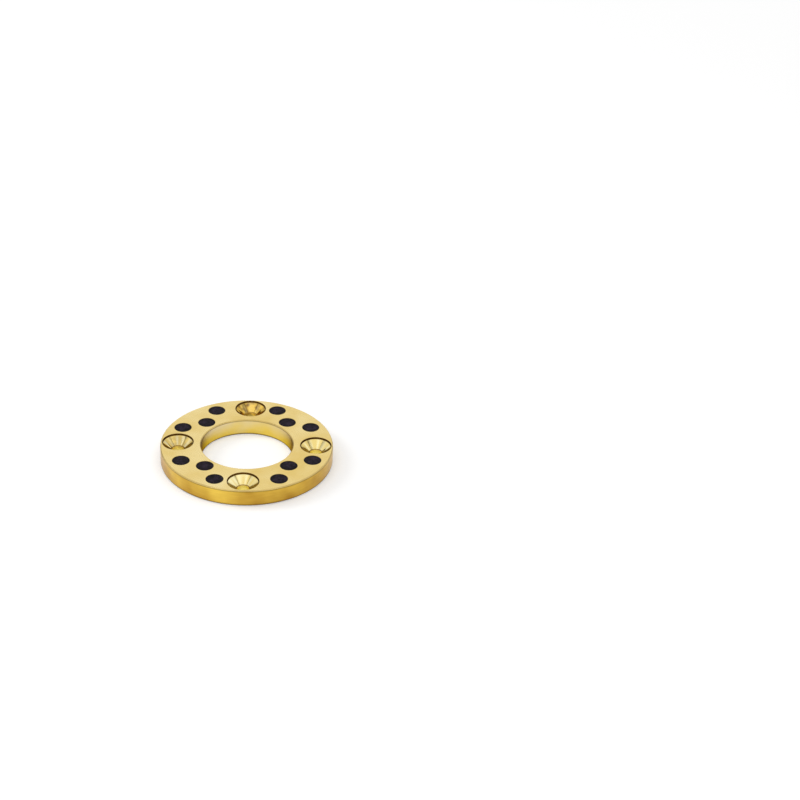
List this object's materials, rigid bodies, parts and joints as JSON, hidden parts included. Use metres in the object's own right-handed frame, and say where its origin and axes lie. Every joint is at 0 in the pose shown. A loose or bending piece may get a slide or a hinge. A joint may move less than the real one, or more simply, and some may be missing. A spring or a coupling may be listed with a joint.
{
  "type": "graphite-plugged bronze thrust washer",
  "caption": "Flat bronze thrust washer with a plain bore, countersunk screw holes and flush graphite plugs that lubricate its sliding face.",
  "frame": {"origin": "centre of the bore on the back face, the flat face without countersinks", "axes": "+Z along the bore axis towards the sliding face with the countersinks; +X from the bore axis to one screw hole"},
  "size_m": [0.06, 0.06, 0.006],
  "materials": {
    "bronze": "fine turned",
    "graphite": "matte, slightly burnished"
  },
  "bodies": {
    "root": {"bronze_ring": "bronze", "outer_plug_1": "graphite", "outer_plug_2": "graphite", "outer_plug_3": "graphite", "outer_plug_4": "graphite", "outer_plug_5": "graphite", "outer_plug_6": "graphite", "outer_plug_7": "graphite", "outer_plug_8": "graphite", "inner_plug_1": "graphite", "inner_plug_2": "graphite", "inner_plug_3": "graphite", "inner_plug_4": "graphite"}
  },
  "joints": []
}
